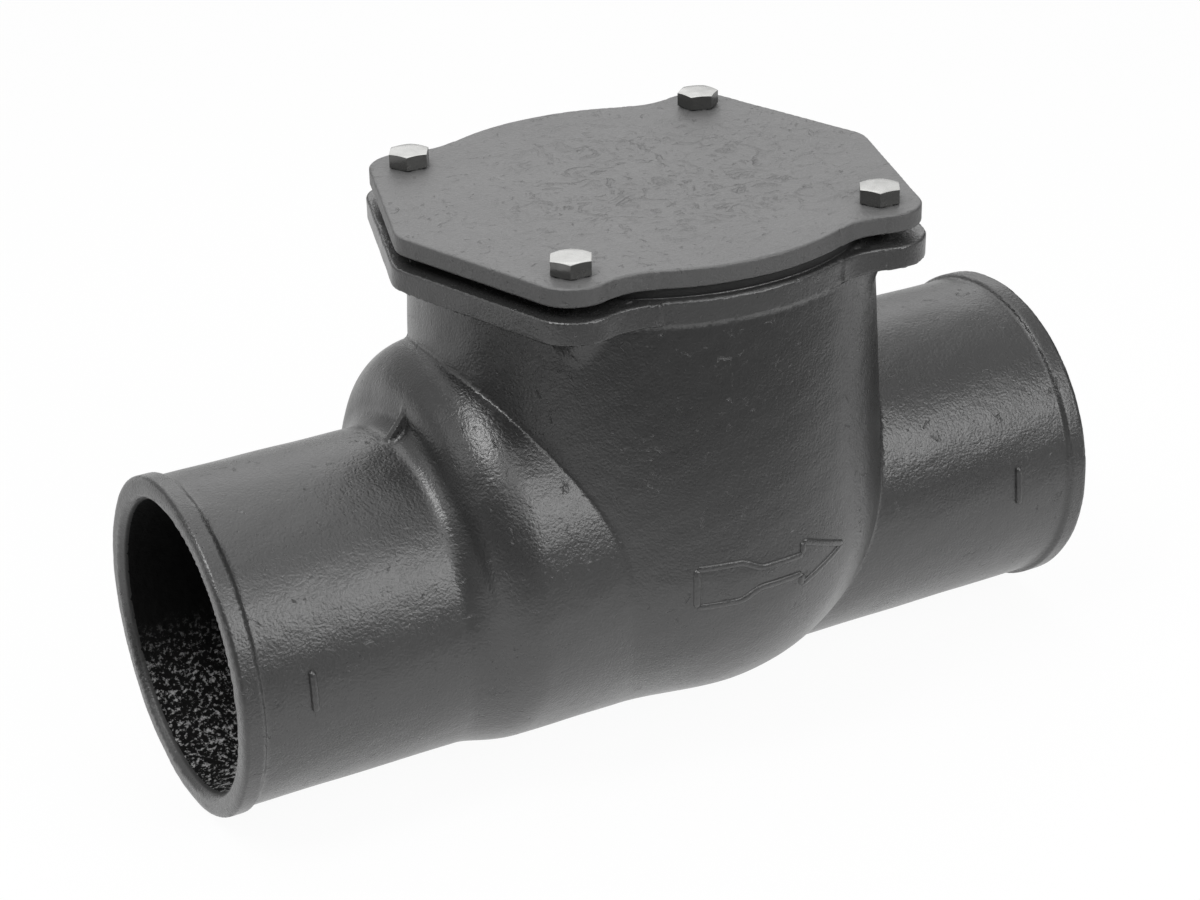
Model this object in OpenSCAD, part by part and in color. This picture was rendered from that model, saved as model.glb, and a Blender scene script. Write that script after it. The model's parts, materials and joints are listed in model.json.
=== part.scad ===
// Backwater valve for a 4 inch hubless drain line.
// Frame: origin at the centre of the inlet spigot's end face, +X with the flow, +Z up to the cover.

/* [Spigots] */
// Outside diameter of the plain pipe ends
pipe_d = 111.3; // [108:0.1:116]
// Height of the bead at each end above the pipe
bead_h = 1.5; // [0.8:0.1:3]
// Width of each bead
bead_w = 7; // [5:0.5:10]
// Corner break behind each bead
bead_chamfer = 0.8; // [0.3:0.1:1.5]
// Wall of the pipe ends
pipe_wall = 6.65; // [5.5:0.05:9]
// Corner break at the mouth of the waterway
mouth_chamfer = 1.5; // [0.5:0.5:3]
// Length from end face to end face
overall_len = 324.5; // [310:0.5:360]

/* [Seat barrel] */
// Where the barrel's shoulder rises from the inlet pipe
shoulder_x = 83.5; // [70:0.5:88]
// Height of the barrel's axis above the pipe's axis
barrel_rise = 12.8; // [8:0.2:16]
// Rounding of the shoulder's outer edge
shoulder_r = 20; // [10:1:24]
// Wall of the casting
wall = 6.5; // [5:0.25:8]
// Gap between the seat ring and the floor of the barrel
ring_room = 1.3; // [0.8:0.1:3]

/* [Chamber] */
// Distance from the inlet face to the chamber's upright axis
chamber_x = 175.4; // [172:0.2:185]
// Largest outside diameter of the chamber, at its belly
belly_d = 164; // [160:0.5:172]
// Height of the belly above the pipe's axis
belly_z = 18; // [12:1:24]
// How much the chamber's radius shrinks from its belly to its flange
chamber_taper = 4; // [2:0.5:8]
// Height of the bowl's bottom above the bottom of the pipe
bowl_lift = 2.65; // [1.5:0.05:5]
// Height of the flange's top above the pipe's axis
flange_top = 114; // [108:0.5:130]
// Thickness of the flange
flange_t = 8; // [6:0.5:12]
// How far the flange reaches in over the chamber's wall
neck_ledge = 4.5; // [2:0.5:8]

/* [Cover] */
// How far the flange's round rim stands out from the chamber
rim_out = 1.5; // [1:0.25:4]
// Distance of the bolts' shanks from the gasket's edge
bolt_gap = 0.55; // [0.5:0.05:3]
// Radius of the lug around each bolt
lug_r = 15.3; // [13:0.1:17]
// How far the two end points stand out from the round rim
point_out = 11; // [8:0.5:15]
// Rounding of the two end points
point_r = 14; // [4:0.5:20]
// Hollow between the rim and each lug
lug_fillet = 24; // [15:1:35]
// Height of the boss under each lug
gusset_h = 15; // [9:0.5:24]
// How far the boss stands in from its bolt
gusset_inset = 7; // [4:0.5:9]
// Diameter of the boss at the flange
gusset_d = 25; // [22:0.5:28]
// Diameter of the boss at its tip
gusset_tip_d = 7; // [4:0.5:12]
// How far the cover's edge stands in from the flange's edge
cover_inset = 1.5; // [0:0.1:2]
// Thickness of the cover
cover_t = 6.5; // [5:0.5:10]
// Depth of the locating boss under the cover
register_h = 3; // [2:0.5:5]
// Gap between the locating boss and the access opening
register_clear = 1; // [0.5:0.1:2]
// Height of the gasket's raised face on the flange
raised_h = 0.6; // [0.4:0.1:1.5]
// Thickness of the gasket
gasket_t = 3.4; // [2:0.1:5]
// Width of the gasket's ring
gasket_w = 9; // [6:0.5:12]

/* [Cover bolts] */
// Shank diameter of the cover bolts
bolt_d = 7.9; // [6:0.1:8]
// Length of the bolts under the head
bolt_len = 18; // [15:0.5:20]
// Width of the bolt heads across flats
bolt_flats = 12.7; // [11:0.1:13]
// Height of the bolt heads
bolt_head_h = 5.3; // [4:0.1:7]
// Clearance around the bolts in the flange
bolt_clear = 0.15; // [0.1:0.05:0.3]
// Clearance around the bolts in the cover
cover_hole_clear = 0.6; // [0.4:0.1:1]

/* [Seat] */
// Tilt of the seat from upright
seat_tilt = 20; // [15:1:22]
// Distance of the seat's middle upstream of the chamber's axis
seat_back = 45; // [43:0.5:48]
// Height of the seat's middle above the pipe's axis
seat_rise = 0.5; // [0:0.5:4]
// Thickness of the wall that holds the seat
seat_wall = 9; // [7:0.5:11]
// How much smaller the seat's port is than the waterway, all round
port_step = 2.5; // [1:0.25:5]
// Wall of the seat ring inside the seat wall
ring_wall = 3; // [2.5:0.25:3.5]
// Width of the seat ring's flange beyond that
ring_lip = 2.5; // [2:0.25:3]
// Thickness of the seat ring's flange
ring_flange_t = 4; // [3:0.25:5]
// Height of the raised seating face
crown_h = 2; // [1:0.25:3]
// Width of the raised seating face
crown_w = 3; // [2:0.25:3.5]
// Radial fit of the seat ring in its wall
ring_clear = 0.05; // [0.02:0.01:0.1]

/* [Flapper] */
// Thickness of the flapper disc
disc_t = 5; // [4:0.5:7]
// Rise of the disc's back towards its boss
disc_cone_h = 2; // [1:0.25:4]
// Corner break on the disc's back
disc_edge = 1.6; // [0.8:0.2:2.4]
// Height of the disc's rim around the seal
disc_rim_h = 2.5; // [1.5:0.25:3.5]
// Width of the disc's rim
disc_rim_w = 2; // [1.5:0.25:2.5]
// Thickness of the rubber seal
seal_t = 5; // [4:0.25:7]
// How far the seal reaches past the raised seating face
seal_over = 0.2; // [0:0.1:1.5]
// Gap between the resting seal and the seat
seal_gap = 0.1; // [0.05:0.05:0.3]
// Clearance of the seal in the disc's rim
seal_clear = 0.3; // [0.2:0.1:0.6]
// Gap between the plate that clamps the seal and the port
retainer_gap = 10.5; // [6:0.5:20]
// Thickness of the plate that clamps the seal
retainer_t = 3; // [2:0.25:4]
// Diameter of the retainer screw
retainer_screw_d = 6; // [5:0.5:7]
// Width of the retainer screw's head across flats
retainer_flats = 10; // [9:0.5:13]
// Height of the retainer screw's head
retainer_head_h = 4.2; // [3:0.2:6]
// Diameter of the disc's stud
stud_d = 12; // [10:0.5:14]
// Height of the boss around the stud
stud_boss_h = 3; // [2:0.5:5]
// End play of the arm on the stud
arm_play = 0.2; // [0.1:0.05:0.5]
// Thickness of the arm
arm_t = 8; // [6:0.5:10]
// Width of the arm's eye around the stud
arm_eye_w = 9; // [6:0.5:11]
// Width of the rib along the arm
rib_w = 8; // [5:0.5:12]
// Height of the rib above the arm at the hinge
rib_h = 4; // [2:0.5:6]
// Thickness of the washer on the stud
washer_t = 1.6; // [1:0.1:2.5]
// Width of the stud's nut across flats
nut_flats = 19; // [17:0.5:22]
// Height of the stud's nut
nut_h = 9; // [7:0.5:11]
// Diameter of the split pin's legs
cotter_d = 2.4; // [1.6:0.2:3]
// Length of the split pin past the stud on each side
cotter_end = 4.8; // [3:0.2:7]
// Radius of the split pin's eye
cotter_eye_r = 2.9; // [2.2:0.1:4]

/* [Hinge] */
// Gap between the hinge bracket and the seat ring
bracket_gap = 1.5; // [0.5:0.25:4]
// Diameter of the hinge pin
pin_d = 8; // [6:0.5:9]
// Radial running clearance of the hinge pin
pin_clear = 0.05; // [0.02:0.01:0.08]
// Radial fit of the hinge pin in the bracket
pin_fit = 0.02; // [0.01:0.01:0.04]
// Wall of the arm's knuckle and the bracket's ears around the pin
knuckle_wall = 5; // [4:0.25:6]
// Width of the arm's knuckle
knuckle_w = 33; // [28:0.5:34]
// Gap between the knuckle and each ear
ear_gap = 0.5; // [0.3:0.1:1]
// Thickness of each ear
ear_t = 6; // [4:0.5:6.5]
// Thickness of the bracket's base
bracket_t = 5; // [4:0.5:7]
// Length of the bracket's base along the seat
bracket_len = 15; // [14:0.5:16]
// Distance of the bracket's screws from its ears
screw_inset = 8.5; // [7:0.5:11]
// Diameter of the bracket's screws
bracket_screw_d = 5; // [4:0.5:5.5]
// Diameter of the bracket screws' heads
bracket_head_d = 8.5; // [7:0.5:10]
// Height of the bracket screws' heads
bracket_head_h = 3; // [2:0.5:4]
// Depth of the bracket's screws in the seat wall
bracket_screw_depth = 6; // [4:0.5:6.5]
// Thickness of the pin's retaining clips
clip_t = 1.2; // [0.8:0.1:1.6]
// Width of the clips' ring
clip_w = 4; // [2.5:0.25:5]
// Mouth of the clips
clip_mouth = 5; // [4:0.25:6]
// Side clearance of the clips
clip_gap = 0.2; // [0.1:0.05:0.4]
// Depth of the clips' grooves in the pin
groove_depth = 0.8; // [0.5:0.1:1.2]
// Length of the pin past each clip's groove
pin_end = 2; // [1:0.25:4]

/* [Hidden] */
$fn = 96;

// Overshoot of cutting shapes, and the size of the blocks that stand for half of space
cut = 1;
reach = 500;

// How far lines and arcs of an outline go past touching each other, so that they cross
arc_cross = 0.02;

// Clearances of screws in plain holes, and of threads
fit_clear = 0.25;
thread_clear = 0.03;

// Spigots and waterway
pipe_r = pipe_d / 2;
bead_r = pipe_r + bead_h;
bore_r = pipe_r - pipe_wall;

// Seat ring
port_r = bore_r - port_step;
ring_r = port_r + ring_wall;
ring_lip_r = ring_r + ring_lip;
crown_top = ring_flange_t + crown_h;

// Barrel, wide enough inside for the tilted seat ring
barrel_core_r = barrel_rise - seat_rise + ring_lip_r * cos(seat_tilt) + ring_room;
barrel_r = barrel_core_r + wall;

// Chamber
belly_r = belly_d / 2;
bowl_depth = pipe_r - bowl_lift;
chamber_top_r = belly_r - chamber_taper;
neck_r = chamber_top_r - wall - neck_ledge;
flange_bottom = flange_top - flange_t;

// Flange, gasket and cover, from the flange upward
rim_r = chamber_top_r + rim_out;
point_reach = rim_r + point_out;
gasket_r = neck_r + gasket_w;
bolt_r = bolt_d / 2;
bolt_half = (gasket_r + bolt_gap + bolt_r) / sqrt(2);
gasket_bottom = flange_top + raised_h;
cover_bottom = gasket_bottom + gasket_t;
cover_top = cover_bottom + cover_t;
bolt_tip = cover_top - bolt_len;
bolt_corners = [[1, 1], [-1, 1], [-1, -1], [1, -1]];
gusset_half = bolt_half - gusset_inset / sqrt(2);

// Flapper, from the seal upward, measured out from the seat wall's face
seal_face = crown_top + seal_gap;
disc_face = seal_face + seal_t;
disc_back = disc_face + disc_t;
seal_r = port_r + crown_w + seal_over;
seal_pocket_r = seal_r + seal_clear;
disc_r = seal_pocket_r + disc_rim_w;
stud_r = stud_d / 2;
stud_boss_r = stud_r + arm_eye_w;
boss_top = disc_back + disc_cone_h + stud_boss_h;
arm_bottom = boss_top + arm_play;
arm_top = arm_bottom + arm_t;
washer_top = arm_top + washer_t;
nut_top = washer_top + nut_h;
cotter_r = cotter_d / 2;
cotter_thin = 0.2;
cotter_z = nut_top + cotter_d;
stud_top = cotter_z + 2 * cotter_d;
retainer_r = port_r - retainer_gap;
retainer_screw_r = retainer_screw_d / 2;
retainer_face = seal_face - retainer_t;
retainer_screw_end = disc_back + disc_cone_h;

// Hinge, its rise measured up along the seat from the seat's middle
hinge_rise = ring_lip_r + bracket_gap + bracket_len / 2;
pin_r = pin_d / 2;
knuckle_r = pin_r + knuckle_wall;
pin_z = arm_bottom + arm_t / 2;
ear_in = knuckle_w / 2 + ear_gap;
ear_out = ear_in + ear_t;
clip_in = ear_out + clip_gap;
groove_out = clip_in + clip_t + clip_gap;
groove_r = pin_r - groove_depth;
pin_half = groove_out + pin_end;
bracket_screw_half = ear_in - screw_inset;
bracket_screw_r = bracket_screw_d / 2;

// Radius of the corner circle around a hexagon of that width across flats
function hex_r(flats) = flats / (2 * cos(30));

// Points where the line that touches two circles [x, y, r] on their right-hand side meets them
function touch(a, b) =
    let(run = [b.x - a.x, b.y - a.y],
        turn = atan2(run.y, run.x) - acos((a.z - b.z) / norm(run)),
        out = [cos(turn), sin(turn)])
    [[a.x, a.y] + a.z * out, [b.x, b.y] + b.z * out];

// Outline pulled tight around circles [x, y, r], given anticlockwise
module tight_outline(rounds) {
    last = len(rounds) - 1;
    inner = [for (c = rounds) c - [0, 0, arc_cross]];
    polygon([for (i = [0:last]) each touch(inner[i], inner[i == last ? 0 : i + 1])]);
    for (c = rounds) translate([c.x, c.y]) circle(c.z);
}

// Fills the corner between two circles [x, y, r] with a hollow of radius r, on the left of a to b
module hollow_corner(a, b, r) {
    span = norm([b.x - a.x, b.y - a.y]);
    ahead = [b.x - a.x, b.y - a.y] / span;
    along = (pow(a.z + r, 2) - pow(b.z + r, 2) + span * span) / (2 * span);
    aside = sqrt(pow(a.z + r, 2) - along * along);
    middle = [a.x, a.y] + along * ahead + aside * [-ahead.y, ahead.x];
    difference() {
        polygon([[a.x, a.y], [b.x, b.y], middle]);
        translate(middle) circle(r + arc_cross);
    }
}

// Turns a shape made along +Z to lie along +X or +Y
module along_x() rotate([0, 90, 0]) children();
module along_y() rotate([-90, 0, 0]) children();

// Places a shape at the chamber's axis, or at each of its bolts
module at_chamber(z = 0) translate([chamber_x, 0, z]) children();
module at_bolt(corner, z) at_chamber(z) translate(bolt_half * corner) children();

// Seat frame: +Z out of the seat with the flow, +X down along the seat, origin at its middle
module at_seat() {
    translate([chamber_x - seat_back, 0, seat_rise]) rotate([0, 90 - seat_tilt, 0]) children();
}

// Hinge frame: the same directions, at the middle of the hinge pin
module at_hinge() at_seat() translate([-hinge_rise, 0, pin_z]) children();

// Plan of the flange or, with an inset, of the cover
module lugged_plan(inset) {
    rim = [0, 0, rim_r - inset];
    lug = [bolt_half, bolt_half, lug_r - inset];
    point = [point_reach - point_r, 0, point_r - inset];
    circle(rim.z);
    for (side = [0, 1]) mirror([side, 0]) {
        tight_outline([[lug.x, -lug.y, lug.z], point, lug]);
        for (half = [0, 1]) mirror([0, half]) hollow_corner(rim, lug, lug_fillet + inset);
    }
}

// Half section of a round shape from x0 to x1 with its first edge rounded
module shouldered_section(r, x0, x1, round_r) {
    translate([0, x0]) square([r - round_r, x1 - x0]);
    translate([0, x0 + round_r]) square([r, x1 - x0 - round_r]);
    translate([r - round_r, x0 + round_r]) circle(round_r);
}

// Half section of the chamber, drawn in from its outside by an inset
module chamber_section(inset) {
    round_r = bowl_depth + belly_z - inset;
    flat_r = belly_r - inset - round_r;
    polygon([
        [0, belly_z], [belly_r - inset, belly_z],
        [chamber_top_r - inset, flange_bottom], [0, flange_bottom]
    ]);
    intersection() {
        translate([flat_r, belly_z]) circle(round_r);
        translate([0, belly_z - round_r]) square([belly_r - inset, round_r]);
    }
    if (flat_r > 0) translate([0, belly_z - round_r]) square([flat_r, round_r]);
}

// Pipe end of the given length, its bead at the start
module spigot(length) {
    cylinder(r = pipe_r, h = length);
    rotate_extrude() polygon([
        [0, 0], [bead_r, 0], [bead_r, bead_w - bead_chamfer],
        [bead_r - bead_chamfer, bead_w], [0, bead_w]
    ]);
}

// Waterway of the given length, its mouth broken at the start
module waterway(length) {
    translate([0, 0, -cut]) cylinder(r = bore_r, h = length + cut);
    translate([0, 0, -cut])
        cylinder(r1 = bore_r + mouth_chamfer + cut, r2 = bore_r, h = mouth_chamfer + cut);
}

// Places a shape made from an end face inward along +Z at the inlet or at the outlet
module at_inlet() along_x() children();
module at_outlet() translate([overall_len, 0, 0]) rotate([0, -90, 0]) children();

module barrel(r, x0, round_r) {
    translate([0, 0, barrel_rise]) along_x()
        rotate_extrude() shouldered_section(r, x0, chamber_x, round_r);
}

module body_outside() {
    at_inlet() spigot(chamber_x + wall);
    at_outlet() spigot(overall_len - chamber_x);
    barrel(barrel_r, shoulder_x, shoulder_r);
    at_chamber() rotate_extrude() chamber_section(0);
    at_chamber(flange_bottom) linear_extrude(flange_t) lugged_plan(0);
    at_chamber(flange_top) cylinder(r = gasket_r, h = raised_h);
    for (corner = bolt_corners)
        at_chamber(flange_bottom - gusset_h) translate(gusset_half * corner)
            cylinder(d1 = gusset_tip_d, d2 = gusset_d, h = gusset_h);
}

// Hollow upstream of the seat wall
module inlet_hollow() {
    intersection() {
        union() {
            at_inlet() waterway(chamber_x);
            barrel(barrel_core_r, shoulder_x + wall, shoulder_r - wall);
        }
        at_seat() translate([-reach / 2, -reach / 2, -seat_wall - reach]) cube(reach);
    }
}

// Hollow downstream of the seat wall, up through the access opening
module outlet_hollow() {
    intersection() {
        union() {
            at_chamber() rotate_extrude() chamber_section(wall);
            barrel(barrel_core_r, shoulder_x + wall, shoulder_r - wall);
        }
        at_seat() translate([-reach / 2, -reach / 2, 0]) cube(reach);
    }
    at_outlet() waterway(overall_len - chamber_x + wall);
    at_chamber(flange_bottom - cut) cylinder(r = neck_r, h = flange_t + raised_h + 2 * cut);
}

module valve_body() {
    color("#4a4b4c") difference() {
        body_outside();
        inlet_hollow();
        outlet_hollow();
        at_seat() translate([0, 0, -seat_wall - cut]) cylinder(r = ring_r, h = seat_wall + 2 * cut);
        for (corner = bolt_corners)
            at_bolt(corner, bolt_tip - cut)
                cylinder(r = bolt_r + bolt_clear, h = flange_top - bolt_tip + 2 * cut);
        at_bracket_screws(-bracket_screw_depth)
            cylinder(r = bracket_screw_r + thread_clear, h = bracket_screw_depth + cut);
    }
}

module access_cover() {
    color("#6e6f70") difference() {
        union() {
            at_chamber(cover_bottom) linear_extrude(cover_t) lugged_plan(cover_inset);
            at_chamber(cover_bottom - register_h)
                cylinder(r = neck_r - register_clear, h = register_h + cut);
        }
        for (corner = bolt_corners)
            at_bolt(corner, cover_bottom - cut)
                cylinder(r = bolt_r + cover_hole_clear, h = cover_t + 2 * cut);
    }
}

module cover_gasket() {
    color("#1d1d1d") at_chamber(gasket_bottom) difference() {
        cylinder(r = gasket_r, h = gasket_t);
        translate([0, 0, -cut]) cylinder(r = neck_r, h = gasket_t + 2 * cut);
    }
}

// Hexagon head or nut blank, its top corners turned off at 30 degrees
module hex_blank(flats, h) {
    intersection() {
        cylinder(r = hex_r(flats), h = h, $fn = 6);
        cylinder(r1 = flats / 2 + h / tan(30), r2 = flats / 2, h = h);
    }
}

module cover_bolt(number) {
    color("#c9c9c6") at_bolt(bolt_corners[number - 1], cover_top) {
        hex_blank(bolt_flats, bolt_head_h);
        translate([0, 0, -bolt_len]) cylinder(r = bolt_r, h = bolt_len);
    }
}

module seat_ring() {
    color("#a8763e") at_seat() rotate_extrude() polygon([
        [port_r, -seat_wall], [ring_r - ring_clear, -seat_wall], [ring_r - ring_clear, 0],
        [ring_lip_r, 0], [ring_lip_r, ring_flange_t], [port_r + crown_w, ring_flange_t],
        [port_r + crown_w, crown_top], [port_r, crown_top]
    ]);
}

// Places a shape at each of the bracket's screws, the given distance out from the seat wall
module at_bracket_screws(z) {
    for (side = [-1, 1])
        at_seat() translate([-hinge_rise, side * bracket_screw_half, z]) children();
}

module hinge_bracket() {
    color("#b08344") difference() {
        at_seat() translate([-hinge_rise, 0, 0]) {
            translate([-bracket_len / 2, -ear_out, 0]) cube([bracket_len, 2 * ear_out, bracket_t]);
            for (side = [-1, 1])
                translate([0, side * (ear_in + ear_t / 2), 0]) rotate([90, 0, 0])
                    linear_extrude(ear_t, center = true) {
                        translate([0, pin_z]) circle(knuckle_r);
                        polygon([
                            [-bracket_len / 2, 0], [bracket_len / 2, 0],
                            [knuckle_r, pin_z], [-knuckle_r, pin_z]
                        ]);
                    }
        }
        at_hinge() along_y() cylinder(r = pin_r + pin_fit, h = 2 * (ear_out + cut), center = true);
        at_bracket_screws(-cut) cylinder(r = bracket_screw_r + fit_clear, h = bracket_t + 2 * cut);
    }
}

module bracket_screws() {
    color("#b9a04c") at_bracket_screws(0) {
        translate([0, 0, -bracket_screw_depth])
            cylinder(r = bracket_screw_r, h = bracket_screw_depth + bracket_t);
        translate([0, 0, bracket_t]) cylinder(d = bracket_head_d, h = bracket_head_h);
    }
}

module hinge_pin() {
    color("#c4c6c8") at_hinge() along_y() difference() {
        cylinder(r = pin_r, h = 2 * pin_half, center = true);
        for (side = [0, 1]) mirror([0, 0, side]) translate([0, 0, clip_in]) difference() {
            cylinder(r = pin_r + cut, h = groove_out - clip_in);
            cylinder(r = groove_r, h = groove_out - clip_in);
        }
    }
}

// Open retaining clip in the pin's groove, on the +Y or -Y side
module pin_clip(side) {
    color("#8d8f90") at_hinge() along_y() mirror([0, 0, side < 0 ? 1 : 0])
        translate([0, 0, clip_in]) difference() {
            cylinder(r = groove_r + clip_w, h = clip_t);
            translate([0, 0, -cut]) cylinder(r = groove_r, h = clip_t + 2 * cut);
            translate([0, -clip_mouth / 2, -cut]) cube([pin_r + clip_w, clip_mouth, clip_t + 2 * cut]);
        }
}

module flapper_arm() {
    color("#b07f42") difference() {
        union() {
            at_seat() translate([0, 0, arm_bottom]) linear_extrude(arm_t)
                tight_outline([
                    [0, 0, stud_boss_r],
                    [-hinge_rise, knuckle_w / 2 - knuckle_r / 2, knuckle_r / 2],
                    [-hinge_rise, knuckle_r / 2 - knuckle_w / 2, knuckle_r / 2]
                ]);
            at_hinge() along_y() cylinder(r = knuckle_r, h = knuckle_w, center = true);
            at_seat() rotate([90, 0, 0]) linear_extrude(rib_w, center = true) polygon([
                [-stud_boss_r, arm_top], [-hinge_rise, arm_top + rib_h],
                [-hinge_rise, arm_bottom], [-stud_boss_r, arm_bottom]
            ]);
        }
        at_seat() translate([0, 0, arm_bottom - cut])
            cylinder(r = stud_r + fit_clear, h = arm_t + 2 * cut);
        at_hinge() along_y() cylinder(r = pin_r + pin_clear, h = knuckle_w + 2 * cut, center = true);
    }
}

module flapper_disc() {
    color("#b4833f") at_seat() difference() {
        rotate_extrude() polygon([
            [0, disc_face], [seal_pocket_r, disc_face],
            [seal_pocket_r, disc_face - disc_rim_h], [disc_r, disc_face - disc_rim_h],
            [disc_r, disc_back - disc_edge], [disc_r - disc_edge, disc_back],
            [stud_boss_r, disc_back + disc_cone_h], [stud_boss_r, boss_top],
            [stud_r, boss_top], [stud_r, stud_top], [0, stud_top]
        ]);
        translate([0, 0, disc_face - cut])
            cylinder(r = retainer_screw_r + thread_clear, h = retainer_screw_end - disc_face + cut);
        translate([0, 0, cotter_z]) along_y()
            cylinder(r = cotter_r + fit_clear, h = stud_d + 2 * cut, center = true);
    }
}

module flapper_seal() {
    color("#232323") at_seat() translate([0, 0, seal_face]) difference() {
        cylinder(r = seal_r, h = seal_t);
        translate([0, 0, -cut]) cylinder(r = retainer_screw_r + fit_clear, h = seal_t + 2 * cut);
    }
}

module seal_retainer() {
    color("#c09a4e") at_seat() translate([0, 0, retainer_face]) difference() {
        cylinder(r1 = retainer_r - retainer_t / 2, r2 = retainer_r, h = retainer_t);
        translate([0, 0, -cut]) cylinder(r = retainer_screw_r + fit_clear, h = retainer_t + 2 * cut);
    }
}

module retainer_screw() {
    color("#c4c6c8") at_seat() {
        translate([0, 0, retainer_face]) mirror([0, 0, 1])
            hex_blank(retainer_flats, retainer_head_h);
        translate([0, 0, retainer_face])
            cylinder(r = retainer_screw_r, h = retainer_screw_end - retainer_face);
    }
}

module disc_washer() {
    color("#c4c6c8") at_seat() translate([0, 0, arm_top]) difference() {
        cylinder(r = stud_boss_r - arm_play, h = washer_t);
        translate([0, 0, -cut]) cylinder(r = stud_r + fit_clear, h = washer_t + 2 * cut);
    }
}

module disc_nut() {
    color("#c4c6c8") at_seat() translate([0, 0, washer_top]) difference() {
        hex_blank(nut_flats, nut_h);
        translate([0, 0, -cut]) cylinder(r = stud_r + thread_clear, h = nut_h + 2 * cut);
    }
}

// Split pin through the stud: a straight leg and its eye
module nut_cotter() {
    half = stud_r + cotter_end;
    color("#9b9d9e") at_seat() translate([0, 0, cotter_z]) along_y() {
        cylinder(r = cotter_r, h = 2 * half, center = true);
        translate([0, 0, half + cotter_eye_r]) along_y()
            rotate_extrude() translate([cotter_eye_r, 0]) circle(cotter_r - cotter_thin);
    }
}

valve_body();
access_cover();
cover_gasket();
cover_bolt(1);  // cover_bolt_1
cover_bolt(2);  // cover_bolt_2
cover_bolt(3);  // cover_bolt_3
cover_bolt(4);  // cover_bolt_4
seat_ring();
hinge_bracket();
bracket_screws();
hinge_pin();
pin_clip(1);  // pin_clip_left
pin_clip(-1);  // pin_clip_right
flapper_arm();
flapper_disc();
flapper_seal();
seal_retainer();
retainer_screw();
disc_washer();
disc_nut();
nut_cotter();
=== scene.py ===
"""Dresses a cast iron backwater valve: body, marks, cover, bolts and flapper works, on a plain stage."""

import functools
import json
import math

import bmesh
import bpy
import numpy as np
from mathutils import Matrix, Vector


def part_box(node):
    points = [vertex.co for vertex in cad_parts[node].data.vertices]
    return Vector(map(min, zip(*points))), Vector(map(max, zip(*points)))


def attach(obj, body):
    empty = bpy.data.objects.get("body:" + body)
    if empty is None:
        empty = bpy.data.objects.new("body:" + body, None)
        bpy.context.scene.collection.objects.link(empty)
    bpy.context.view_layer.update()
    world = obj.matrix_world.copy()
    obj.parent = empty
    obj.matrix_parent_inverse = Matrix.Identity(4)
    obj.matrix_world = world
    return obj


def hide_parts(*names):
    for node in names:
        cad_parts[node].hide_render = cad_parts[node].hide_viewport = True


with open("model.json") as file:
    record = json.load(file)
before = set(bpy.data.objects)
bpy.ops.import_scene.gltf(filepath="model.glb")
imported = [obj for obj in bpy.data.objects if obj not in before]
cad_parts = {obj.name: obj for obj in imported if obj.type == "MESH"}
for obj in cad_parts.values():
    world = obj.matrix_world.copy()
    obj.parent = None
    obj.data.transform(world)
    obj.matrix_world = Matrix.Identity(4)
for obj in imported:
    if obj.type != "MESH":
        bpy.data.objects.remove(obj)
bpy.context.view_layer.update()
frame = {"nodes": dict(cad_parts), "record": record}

bl_info = {
    "name": "Backwater valve",
    "version": (1, 0, 0),
    "blender": (4, 5, 0),
    "location": "3D View > Sidebar > Valve",
    "description": "Builds the looks of a cast iron backwater valve around its solids",
    "category": "Object",
}

MM = 0.001
BODY_LOW, BODY_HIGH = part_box("valve_body")
GASKET_LOW, GASKET_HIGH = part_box("cover_gasket")
COVER_LOW, COVER_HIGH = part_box("access_cover")
BOLTS = ("cover_bolt_1", "cover_bolt_2", "cover_bolt_3", "cover_bolt_4")
BOLT_LOW, BOLT_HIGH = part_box(BOLTS[0])
CHAMBER_X = (GASKET_LOW.x + GASKET_HIGH.x) / 2
BOLT_HALF = (BOLT_LOW.y + BOLT_HIGH.y) / 2
# How far each bolt head is turned, in radians
BOLT_TURNS = (0.18, 0.50, 0.53, 0.485)
# Radius of the waterway, of the faces inside it that take its painted shade, and of that painted shade's
# dark edge at the mouths
BORE_R = 49 * MM
BORE_EDGE = BORE_R + 0.08 * MM
LIP_SHADE = (BORE_R + 0.2 * MM, BORE_R + 0.6 * MM)
# Heights over which painted shade under the flange darkens the chamber and ends under the flange, and over
# which the painted glints of sand in the bore fade out going up
FLANGE_SHADE_RISE = (15 * MM, 85 * MM)
FLANGE_SHADE_END = (103.5 * MM, 106.5 * MM)
LIT_SAND_FADE = (-42 * MM, -12 * MM)
# Distances from the middle of the cover over which its marks fade
MAR_FADE = (20 * MM, 75 * MM)
# Distances behind the valve over which the floor grows bright
REAR_FADE = (50 * MM, 500 * MM)
# How much a direction to the back counts beside its height, and where the studio goes from dim to bright
BACK_SHARE = 0.45
STUDIO_FADE = (0.1, 0.7)
# Corners closer than this are one
WELD = 0.002 * MM
# Place and size in metres, and power in watts of each lamp
LAMPS = {
    "top_softbox": ((0.25, 0.15, 1.25), (1.2, 0.9), 3),
    "rear_softbox": ((0.25, 0.75, 1.05), (1.2, 0.6), 2),
    "back_softbox": ((0.85, 1.25, 0.80), (1.5, 0.9), 4),
    "right_softbox": ((0.66, -0.98, 0.58), (0.9, 0.6), 6),
    "left_softbox": ((-0.42, -0.15, 1.05), (0.35, 0.6), 5.4),
    "side_softbox": ((-1.10, 0.30, 0.60), (0.5, 0.5), 1.2),
    "front_softbox": ((0.05, -0.90, 1.00), (1.1, 0.7), 3.5),
}


def length(name, description, default):
    """A size in metres that the panel shows as a length."""
    return bpy.props.FloatProperty(
        name=name, description=description, default=default, unit="LENGTH", subtype="DISTANCE", precision=5
    )


def number(name, description, default):
    """A plain number on the panel."""
    return bpy.props.FloatProperty(name=name, description=description, default=default)


def turn(name, description, degrees):
    """An angle on the panel, given in degrees."""
    return bpy.props.FloatProperty(
        name=name, description=description, default=math.radians(degrees), unit="ROTATION", subtype="ANGLE"
    )


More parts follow.
